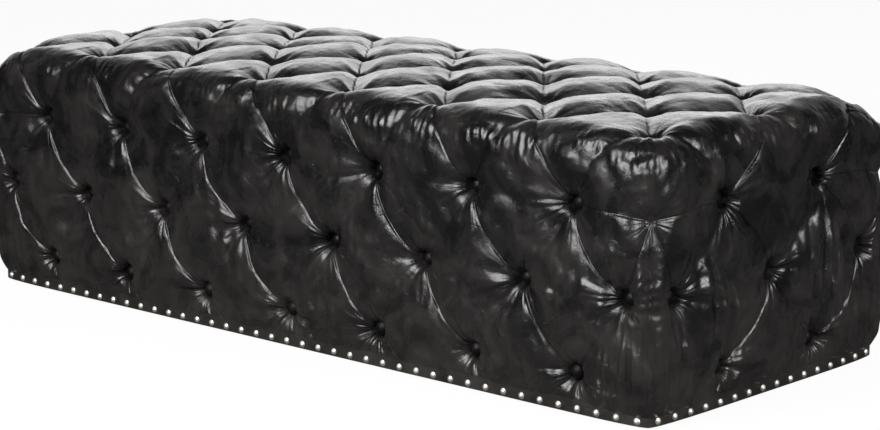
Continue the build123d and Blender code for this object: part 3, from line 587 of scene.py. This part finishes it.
wall_move = np.concatenate([coarse_move[wall], coarse_move[wall[:, :1]]], axis=1)
wall_move = between(wall_move, kept_rows, len(side_rows)).swapaxes(0, 1)
swell[side_rows] = between(wall_move, np.arange(0, loop + 1, COARSE), loop).swapaxes(0, 1)
lid_move = between(coarse_move[lid], np.arange(0, nx + 1, COARSE), nx + 1).swapaxes(0, 1)
swell[top_index] = between(lid_move, np.arange(0, ny + 1, COARSE), ny + 1).swapaxes(0, 1)

fine_faces = squares(top_index, side_rows)
links = np.concatenate([fine_faces[:, [0, 1]], fine_faces[:, [1, 2]]])
here, there = np.concatenate([links, links[:, ::-1]]).T
meets = np.bincount(here, minlength=len(shape))
for k in range(SMOOTHING):
    around = [np.bincount(here, swell[there, axis], len(shape)) / meets for axis in range(3)]
    swell = swell / 2 + np.stack(around, axis=1) / 2
shape += swell
print("swell", np.linalg.norm(swell, axis=1).max().round(1))
print("box", shape.min(axis=0).round(1), shape.max(axis=0).round(1))

# %% [markdown]
# ## The leather mesh
# The grid becomes a mesh of squares. At the bottom two more rows turn the leather under the rails,
# and one flat face closes the form behind the bottoming cloth, so that the cover is a closed
# cushion. Each point also carries two things for the leather's finish: how far it is from a tight
# pleat, and its way to the nearest button. The CAD cover and the foam pads are hidden, because
# this piece stands for them.

# %% Faces of the cover
TURN_UNDER = (10.0, 26.0)
UNDER_Z = HEM_Z + 0.4
shape[side_rows[-1], 2] = UNDER_Z
under_points = []
for inset in TURN_UNDER:
    limit = half_plan - HEM_INSET - inset
    turned_under = shape[side_rows[-1]].copy()
    turned_under[:, :2] = np.clip(turned_under[:, :2], -limit, limit)
    under_points.append(turned_under)
points = np.concatenate([shape, *under_points])
under_index = (len(shape) + np.arange(len(TURN_UNDER) * loop)).reshape(-1, loop)
all_rows = np.concatenate([side_rows, under_index])
quads = squares(top_index, all_rows)
cap = all_rows[-1][::-1]

mesh = bpy.data.meshes.new("leather_tufts")
mesh.vertices.add(len(points))
mesh.vertices.foreach_set("co", (points * MM).ravel())
mesh.loops.add(quads.size + loop)
mesh.loops.foreach_set("vertex_index", np.concatenate([quads.ravel(), cap]))
mesh.polygons.add(len(quads) + 1)
mesh.polygons.foreach_set("loop_start", np.append(np.arange(len(quads)) * 4, quads.size))
mesh.update(calc_edges=True)
mesh.validate()
mesh.polygons.foreach_set("use_smooth", np.ones(len(mesh.polygons), bool))

tight_fold = np.stack([fold_line, fold_share, np.zeros(len(sharp))], axis=1)
for name, values in (("fold", tight_fold), ("pucker", pucker)):
    layer = mesh.attributes.new(name, "FLOAT_VECTOR", "POINT")
    blank = np.zeros((under_index.size, 3))
    layer.data.foreach_set("vector", np.concatenate([values, blank]).ravel())

leather_tufts = bpy.data.objects.new("leather_tufts", mesh)
bpy.context.collection.objects.link(leather_tufts)
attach(leather_tufts, "root")
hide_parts("leather_cover", "foam_top", "foam_front", "foam_back", "foam_left", "foam_right")
print("leather", len(mesh.vertices), "points", len(mesh.polygons), "faces")

# %% [markdown]
# ## Colours and nodes
# Colours are written as on a paint chart, in sRGB hex, and turned to the linear values that
# shaders use. One small function adds a node, sets it and links it, so each material below reads
# as a list of what it is made of. In a Map Range, inputs 1 to 4 are the range taken and the range
# given. A colour Mix takes its share at input 0 and its two colours at 6 and 7, and gives output 2.

# %% Helpers for materials
def linear(code):
    """An sRGB hex colour as linear RGBA."""
    parts = [int(code[k:k + 2], 16) / 255 for k in (1, 3, 5)]
    return [c / 12.92 if c <= 0.04045 else ((c + 0.055) / 1.055) ** 2.4 for c in parts] + [1.0]


def add_node(material, kind, inputs=(), **settings):
    """Adds a node; an input is a value, a socket, or a node whose first output is used."""
    node = material.node_tree.nodes.new(kind)
    for name, value in settings.items():
        setattr(node, name, value)
    for name, value in dict(inputs).items():
        source = value.outputs[0] if isinstance(value, bpy.types.Node) else value
        if isinstance(source, bpy.types.NodeSocket):
            material.node_tree.links.new(source, node.inputs[name])
        else:
            node.inputs[name].default_value = source
    return node


def new_material(name):
    """A material without nodes."""
    material = bpy.data.materials.new(name)
    material.use_nodes = True
    material.node_tree.nodes.clear()
    return material


def dress(node, material):
    """Gives a CAD node's object one material."""
    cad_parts[node].data.materials.clear()
    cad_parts[node].data.materials.append(material)


print("a grey of #808080 is", round(linear("#808080")[0], 3), "in linear light")

# %% [markdown]
# ## Fine folds of drawn leather
# A tight pleat ends in a lip that is thinner than the mesh's squares, and the finest rays round a
# button are thinner too. Both ride on the mesh's own grooves and ridges as a height in the
# material. The lip follows the distance from the pleat, which each point carries. The rays are
# noise that is read by the direction from the button alone, so it is drawn out into streaks.

# %% Fine folds of drawn leather
FOLD_LIP = 1.6
LIP_ABOVE, LIP_BELOW = -1.5, 4.5
RAY_HEIGHT = 6.0
RAY_START, RAY_FULL = 7.0, 16.0
RAY_COUNT = 3.4
RAY_DRIFT = 9.0
WEAK_RAYS, STRONG_RAYS = 0.25, 1.4


def drawn_leather(material, place):
    """Height in millimetres of the thin lip along a pleat and of the rays round a button."""
    carried = add_node(material, "ShaderNodeAttribute", attribute_name="fold").outputs["Vector"]
    pleat = add_node(material, "ShaderNodeSeparateXYZ", {0: carried}).outputs
    rise = add_node(material, "ShaderNodeMapRange",
                    {"Value": pleat["X"], 1: LIP_ABOVE, 2: 0.0, 3: 0.0, 4: -FOLD_LIP},
                    interpolation_type="SMOOTHSTEP")
    fall = add_node(material, "ShaderNodeMapRange",
                    {"Value": pleat["X"], 1: 0.0, 2: LIP_BELOW, 3: 1.0, 4: 0.0},
                    interpolation_type="SMOOTHSTEP")
    profile = add_node(material, "ShaderNodeMath", {0: rise, 1: fall}, operation="MULTIPLY")
    lip = add_node(material, "ShaderNodeMath", {0: profile, 1: pleat["Y"]}, operation="MULTIPLY")

    carried = add_node(material, "ShaderNodeAttribute", attribute_name="pucker").outputs["Vector"]
    spot = add_node(material, "ShaderNodeSeparateXYZ", {0: carried}).outputs
    offset = add_node(material, "ShaderNodeCombineXYZ", {0: spot["X"], 1: spot["Y"]})
    reach = add_node(material, "ShaderNodeVectorMath", {0: offset}, operation="LENGTH").outputs["Value"]
    aim = add_node(material, "ShaderNodeVectorMath", {0: offset}, operation="NORMALIZE")
    drift = add_node(material, "ShaderNodeVectorMath", {0: place, 1: (RAY_DRIFT,) * 3},
                     operation="DOT_PRODUCT").outputs["Value"]
    aside = add_node(material, "ShaderNodeCombineXYZ", {2: drift})
    polar = add_node(material, "ShaderNodeVectorMath", {0: aim, 1: (RAY_COUNT,) * 3, 2: aside},
                     operation="MULTIPLY_ADD")
    streaks = add_node(material, "ShaderNodeTexNoise", {"Vector": polar, "Scale": 1.0, "Detail": 1.5})
    full = add_node(material, "ShaderNodeMapRange",
                    {"Value": reach, 1: RAY_START, 2: RAY_FULL, 3: 0.0, 4: RAY_HEIGHT},
                    interpolation_type="SMOOTHSTEP")
    sector = add_node(material, "ShaderNodeTexNoise", {"Vector": polar, "Scale": 0.3, "Detail": 0.0})
    lively = add_node(material, "ShaderNodeMapRange",
                      {"Value": sector, 1: 0.38, 2: 0.6, 3: WEAK_RAYS, 4: STRONG_RAYS},
                      interpolation_type="SMOOTHSTEP")
    fading = add_node(material, "ShaderNodeMath", {0: full, 1: spot["Z"]}, operation="MULTIPLY")
    tall = add_node(material, "ShaderNodeMath", {0: fading, 1: lively}, operation="MULTIPLY")
    rays = add_node(material, "ShaderNodeMath", {0: streaks, 1: tall}, operation="MULTIPLY")
    return add_node(material, "ShaderNodeMath", {0: lip, 1: rays}, operation="ADD")


print("lip", FOLD_LIP, "mm", "rays", RAY_HEIGHT, "mm")

# %% [markdown]
# ## Aged black leather
# Pull-up leather is dyed through, waxed and then worn: its black breaks to brown-grey in patches,
# fine cracks show paler, and the wax makes it shine unevenly. It is also paler towards the floor.
# Leather's IOR is about 1.5. Patches, cracks, creases and grain each have their own size in millimetres.

# %% Leather
PATCH_MM, CRACK_MM, CRACKED_MM, CREASE_MM = 75, 14, 70, 16
PALE_LOW_Z, PALE_HIGH_Z = 20 * MM, 300 * MM


def aged_leather(name, dark, worn, grain_mm, shine, wax=0.5):
    """Waxed and worn leather: near black where it is sound, paler where it is rubbed."""
    material = new_material(name)
    place = add_node(material, "ShaderNodeTexCoord").outputs["Object"]
    patch = add_node(material, "ShaderNodeTexNoise",
                     {"Vector": place, "Scale": 1 / (PATCH_MM * MM), "Detail": 7.0,
                      "Roughness": 0.62, "Distortion": 0.8})
    height = add_node(material, "ShaderNodeSeparateXYZ", {0: place}).outputs["Z"]
    # The leather turns paler from 300 mm down to 20 mm above the floor.
    paler_low = add_node(material, "ShaderNodeMapRange",
                       {"Value": height, 1: PALE_LOW_Z, 2: PALE_HIGH_Z, 3: 0.17, 4: 0.0})
    wear = add_node(material, "ShaderNodeMath", {0: patch, 1: paler_low}, operation="ADD")
    worn_share = add_node(material, "ShaderNodeMapRange", {"Value": wear, 1: 0.42, 2: 0.84, 3: 0.0, 4: 1.0})
    patches = add_node(material, "ShaderNodeMix", {0: worn_share, 6: linear(dark), 7: linear(worn)},
                       data_type="RGBA").outputs[2]

    crack = add_node(material, "ShaderNodeTexVoronoi", {"Vector": place, "Scale": 1 / (CRACK_MM * MM)},
                     feature="DISTANCE_TO_EDGE")
    crack_line = add_node(material, "ShaderNodeMapRange",
                          {"Value": crack, 1: 0.0, 2: 0.05, 3: 1.0, 4: 0.0})
    cracked = add_node(material, "ShaderNodeTexNoise",
                       {"Vector": place, "Scale": 1 / (CRACKED_MM * MM), "Detail": 3.0})
    crack_where = add_node(material, "ShaderNodeMapRange",
                           {"Value": cracked, 1: 0.5, 2: 0.7, 3: 0.0, 4: 0.5})
    crack_share = add_node(material, "ShaderNodeMath", {0: crack_line, 1: crack_where}, operation="MULTIPLY")
    colour = add_node(material, "ShaderNodeMix", {0: crack_share, 6: patches, 7: linear(worn)},
                      data_type="RGBA").outputs[2]
    gloss = add_node(material, "ShaderNodeMapRange",
                     {"Value": patch, 1: 0.3, 2: 0.75, 3: shine, 4: shine + 0.2})

    crease = add_node(material, "ShaderNodeTexNoise",
                      {"Vector": place, "Scale": 1 / (CREASE_MM * MM), "Detail": 8.0,
                       "Roughness": 0.6, "Distortion": 1.2})
    creased = add_node(material, "ShaderNodeBump", {"Strength": 0.5, "Distance": 2.0 * MM, "Height": crease})
    drawn = add_node(material, "ShaderNodeBump",
                     {"Strength": 1.0, "Distance": MM, "Height": drawn_leather(material, place),
                      "Normal": creased})
    grain = add_node(material, "ShaderNodeTexVoronoi", {"Vector": place, "Scale": 1 / (grain_mm * MM)})
    grained = add_node(material, "ShaderNodeBump",
                       {"Strength": 0.25, "Distance": 0.3 * MM, "Height": grain, "Normal": drawn})
    shader = add_node(material, "ShaderNodeBsdfPrincipled",
                      {"Base Color": colour, "Roughness": gloss, "IOR": 1.5,
                       "Specular IOR Level": wax, "Normal": grained})
    add_node(material, "ShaderNodeOutputMaterial", {"Surface": shader})
    return material


# The hide of the cover: near black, brown-grey where it is rubbed, with a broken waxy shine.
black_leather = aged_leather("aged_black_leather", "#040404", "#282524", 1.6, 0.2)
# Thin offcuts stretched over the buttons: the darkest and dullest leather, darker than the cover as painted
# shade of the deep holes the buttons sit in.
button_leather = aged_leather("button_leather", "#030303", "#0c0b0b", 1.6, 0.35, wax=0.15)
# A strip of the same hide along the floor: paler and less shiny than the cover.
band_leather = aged_leather("band_leather", "#090807", "#252220", 1.4, 0.36)

leather_tufts.data.materials.append(black_leather)
for group in ("top", "front", "back", "left", "right"):
    dress("buttons_" + group, button_leather)
dress("hem_band", band_leather)
print("leathers", black_leather.name, button_leather.name, band_leather.name)

# %% [markdown]
# ## Nails and fittings
# The nailheads are pressed steel, plated with nickel and rubbed bright on their domes. Screws and
# staples are zinc-plated. A metal keeps the default IOR; its colour and roughness do the work.

# %% Metals
def plated_metal(name, bright, dull, rough, fleck_mm):
    """Plating that is a little duller and rougher in flecks."""
    material = new_material(name)
    place = add_node(material, "ShaderNodeTexCoord").outputs["Object"]
    fleck = add_node(material, "ShaderNodeTexNoise",
                     {"Vector": place, "Scale": 1 / (fleck_mm * MM), "Detail": 4.0})
    bright_share = add_node(material, "ShaderNodeMapRange", {"Value": fleck, 1: 0.35, 2: 0.6, 3: 0.0, 4: 1.0})
    colour = add_node(material, "ShaderNodeMix", {0: bright_share, 6: linear(dull), 7: linear(bright)},
                      data_type="RGBA").outputs[2]
    gloss = add_node(material, "ShaderNodeMapRange",
                     {"Value": fleck, 1: 0.3, 2: 0.7, 3: rough + 0.12, 4: rough})
    bump = add_node(material, "ShaderNodeBump", {"Strength": 0.1, "Distance": 0.1 * MM, "Height": fleck})
    shader = add_node(material, "ShaderNodeBsdfPrincipled",
                      {"Base Color": colour, "Metallic": 1.0, "Roughness": gloss, "Normal": bump})
    add_node(material, "ShaderNodeOutputMaterial", {"Surface": shader})
    return material


# Nickel is a warm white, and old nailheads have soft highlights.
dress("band_nails", plated_metal("polished_nickel", "#f2efe8", "#d2ccc2", 0.46, 4.0))
# Zinc is a cool grey with a fine spangle.
zinc = plated_metal("zinc_plate", "#c4c6c8", "#8f9294", 0.32, 1.5)
for node in ("panel_screws", "deck_screws", "cloth_staples"):
    dress(node, zinc)
print("metal on", "band_nails", "panel_screws", "deck_screws", "cloth_staples")

# %% [markdown]
# ## Wood, cloth and twine
# The frame is planed beech and birch plywood, left bare. Under it is a black woven bottoming
# cloth, and the glides are moulded nylon. Little of this is seen, but a buyer who turns the stool
# over finds it finished.

# %% Wood
# A wave texture scaled by one over this has pale and dark bands about one unit wide.
WAVE_BANDS = 6.28


def bare_wood(name, pale, dark, ring_mm, squash):
    """Planed wood: growth rings drawn out along the grain, which runs along X."""
    material = new_material(name)
    place = add_node(material, "ShaderNodeTexCoord").outputs["Object"]
    drawn_out = add_node(material, "ShaderNodeMapping", {"Vector": place, "Scale": squash})
    rings = add_node(material, "ShaderNodeTexWave",
                     {"Vector": drawn_out, "Scale": 1 / (ring_mm * MM * WAVE_BANDS), "Distortion": 5.0,
                      "Detail": 3.0}).outputs["Fac"]
    dark_share = add_node(material, "ShaderNodeMapRange", {"Value": rings, 1: 0.2, 2: 0.9, 3: 0.0, 4: 1.0})
    colour = add_node(material, "ShaderNodeMix", {0: dark_share, 6: linear(pale), 7: linear(dark)},
                      data_type="RGBA").outputs[2]
    bump = add_node(material, "ShaderNodeBump", {"Strength": 0.15, "Distance": 0.2 * MM, "Height": rings})
    shader = add_node(material, "ShaderNodeBsdfPrincipled",
                      {"Base Color": colour, "Roughness": 0.62, "Normal": bump})
    add_node(material, "ShaderNodeOutputMaterial", {"Surface": shader})
    return material


# Beech is a pinkish tan with close, even grain.
beech = bare_wood("planed_beech", "#cfa77c", "#b3885c", 4.78, (0.15, 1.0, 1.0))
# Birch ply is paler, and its peeled face has wide, flowing rings.
plywood = bare_wood("birch_plywood", "#d9bd92", "#c2a074", 8.6, (0.1, 1.0, 1.0))
BEECH_PIECES = ("base_rail", "base_stretcher", "corner_post", "top_batten", "stud", "deck_bearer")
PLYWOOD_PIECES = ("deck", "panel_front", "panel_back", "panel_left", "panel_right")
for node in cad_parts:
    if node.startswith(BEECH_PIECES):
        dress(node, beech)
    elif node in PLYWOOD_PIECES:
        dress(node, plywood)
print("wood", beech.name, plywood.name)

# %% Cloth and twine
def woven(name, hollow_shade, thread, thread_mm):
    """Two crossing sets of threads, with painted shade in the hollows between them."""
    material = new_material(name)
    place = add_node(material, "ShaderNodeTexCoord").outputs["Object"]
    scale = 1 / (thread_mm * MM * WAVE_BANDS)
    warp, weft = (add_node(material, "ShaderNodeTexWave", {"Vector": place, "Scale": scale},
                           bands_direction=axis).outputs["Fac"] for axis in ("X", "Y"))
    cross = add_node(material, "ShaderNodeMath", {0: warp, 1: weft}, operation="MULTIPLY")
    thread_share = add_node(material, "ShaderNodeMapRange", {"Value": cross, 1: 0.1, 2: 0.7, 3: 0.0, 4: 1.0})
    colour = add_node(material, "ShaderNodeMix", {0: thread_share, 6: linear(hollow_shade), 7: linear(thread)},
                      data_type="RGBA").outputs[2]
    bump = add_node(material, "ShaderNodeBump", {"Strength": 0.4, "Distance": 0.3 * MM, "Height": cross})
    shader = add_node(material, "ShaderNodeBsdfPrincipled",
                      {"Base Color": colour, "Roughness": 0.88, "Normal": bump})
    add_node(material, "ShaderNodeOutputMaterial", {"Surface": shader})
    return material


# Black dust cover, matt; its real threads are finer, and are drawn 2 mm wide so that they show.
dress("bottom_cloth", woven("woven_bottoming_cloth", "#121212", "#2a2a2a", 2.0))
# Waxed linen: straw-coloured, with strands as wide as half the twine.
dress("button_twines", woven("waxed_linen_twine", "#a08a62", "#cdb98e", 1.0))
print("woven", "bottom_cloth", "button_twines")

# %% Glides and washers
def moulded(name, dark, pale, rough, spark_mm):
    """A pressed or moulded part with the fine texture of its mould."""
    material = new_material(name)
    place = add_node(material, "ShaderNodeTexCoord").outputs["Object"]
    spark = add_node(material, "ShaderNodeTexNoise",
                     {"Vector": place, "Scale": 1 / (spark_mm * MM), "Detail": 3.0})
    pale_share = add_node(material, "ShaderNodeMapRange", {"Value": spark, 1: 0.4, 2: 0.65, 3: 0.0, 4: 1.0})
    colour = add_node(material, "ShaderNodeMix", {0: pale_share, 6: linear(dark), 7: linear(pale)},
                      data_type="RGBA").outputs[2]
    bump = add_node(material, "ShaderNodeBump", {"Strength": 0.2, "Distance": 0.1 * MM, "Height": spark})
    shader = add_node(material, "ShaderNodeBsdfPrincipled",
                      {"Base Color": colour, "Roughness": rough, "Normal": bump})
    add_node(material, "ShaderNodeOutputMaterial", {"Surface": shader})
    return material


# Nylon: black with a satin gleam.
dress("glides", moulded("moulded_nylon", "#161616", "#262626", 0.5, 0.8))
# Vulcanised fibre: hard brown board, slightly mottled.
dress("stay_washers", moulded("vulcan_fibre", "#3b2a20", "#503a2c", 0.6, 1.2))
print("moulded", "glides", "stay_washers")

# %% [markdown]
# ## Floor and light
# The picture is a cut-out on white, so the floor and the world are white to the camera. To the
# leather the floor is grey, and the world is bright behind the stool and dark on the camera's side:
# that keeps the sides black and lets the far tufts of the top shine. A soft box in front of the
# long side draws the highlights on the pleats, one beside the right end does so there, and a low,
# wide one behind lifts the top. Seen from below, the floor is clear, so the underside shows.

# %% Floor
FLOOR_SIZE = 14
bpy.ops.object.select_all(action="DESELECT")
bpy.ops.mesh.primitive_plane_add(size=FLOOR_SIZE, location=(0, 0, 0))
floor = bpy.context.object
floor.name = "floor"
paper = new_material("white_paper")
rays = add_node(paper, "ShaderNodeLightPath").outputs
pale = add_node(paper, "ShaderNodeBsdfDiffuse", {"Color": linear("#e8e8e8")})
grey = add_node(paper, "ShaderNodeBsdfDiffuse", {"Color": linear("#5c5c5c")})
matt = add_node(paper, "ShaderNodeMixShader", {0: rays["Is Glossy Ray"], 1: pale, 2: grey})
glow = add_node(paper, "ShaderNodeEmission", {"Color": (1, 1, 1, 1), "Strength": 1.0})
mostly = add_node(paper, "ShaderNodeMath", {0: rays["Is Camera Ray"], 1: 0.95}, operation="MULTIPLY")
white = add_node(paper, "ShaderNodeMixShader", {0: mostly, 1: matt, 2: glow})
clear = add_node(paper, "ShaderNodeBsdfTransparent")
from_below = add_node(paper, "ShaderNodeNewGeometry").outputs["Backfacing"]
one_way = add_node(paper, "ShaderNodeMixShader", {0: from_below, 1: white, 2: clear})
add_node(paper, "ShaderNodeOutputMaterial", {"Surface": one_way})
floor.data.materials.append(paper)
print("floor", FLOOR_SIZE, "m")

# %% World
DIM_SIDE = 0.08
scene = bpy.context.scene
scene.view_settings.view_transform = "Standard"
world = scene.world or bpy.data.worlds.new("studio")
scene.world = world
world.use_nodes = True
world.node_tree.nodes.clear()
seen = add_node(world, "ShaderNodeLightPath").outputs["Is Camera Ray"]
looking = add_node(world, "ShaderNodeTexCoord").outputs["Generated"]
towards = add_node(world, "ShaderNodeVectorMath", {0: looking, 1: (back[0], back[1], 0.0)},
                   operation="DOT_PRODUCT").outputs["Value"]
studio = add_node(world, "ShaderNodeMapRange", {"Value": towards, 1: -1.0, 2: -0.6, 3: 1.0, 4: DIM_SIDE})
strength = add_node(world, "ShaderNodeMath", {0: seen, 1: studio}, operation="MAXIMUM")
sky = add_node(world, "ShaderNodeBackground", {"Color": (1, 1, 1, 1), "Strength": strength})
add_node(world, "ShaderNodeOutputWorld", {"Surface": sky})
print("world", world.name)

# %% Lamps
def soft_box(name, place, target, width, tall, watts):
    """A soft box at a place, turned to a point."""
    bpy.ops.object.select_all(action="DESELECT")
    bpy.ops.object.light_add(type="AREA", location=place)
    lamp = bpy.context.object
    lamp.name = name
    lamp.data.shape = "RECTANGLE"
    lamp.data.size = width
    lamp.data.size_y = tall
    lamp.data.energy = watts
    aim_x, aim_y, aim_z = (goal - from_here for goal, from_here in zip(target, place))
    lamp.rotation_euler = (math.atan2(math.hypot(aim_x, aim_y), -aim_z), 0, math.atan2(-aim_x, aim_y))


soft_box("key", (0.1, -2.8, 1.75), (0.2, 0, 0.2), 1.5, 2.0, 140)
soft_box("end", (3.3, -0.2, 1.6), (0.6, 0, 0.2), 1.0, 1.6, 95)
soft_box("far", (-2.2, 2.4, 1.55), (0, 0, 0.4), 2.8, 1.6, 25)
print("lamps", "key", "end", "far")
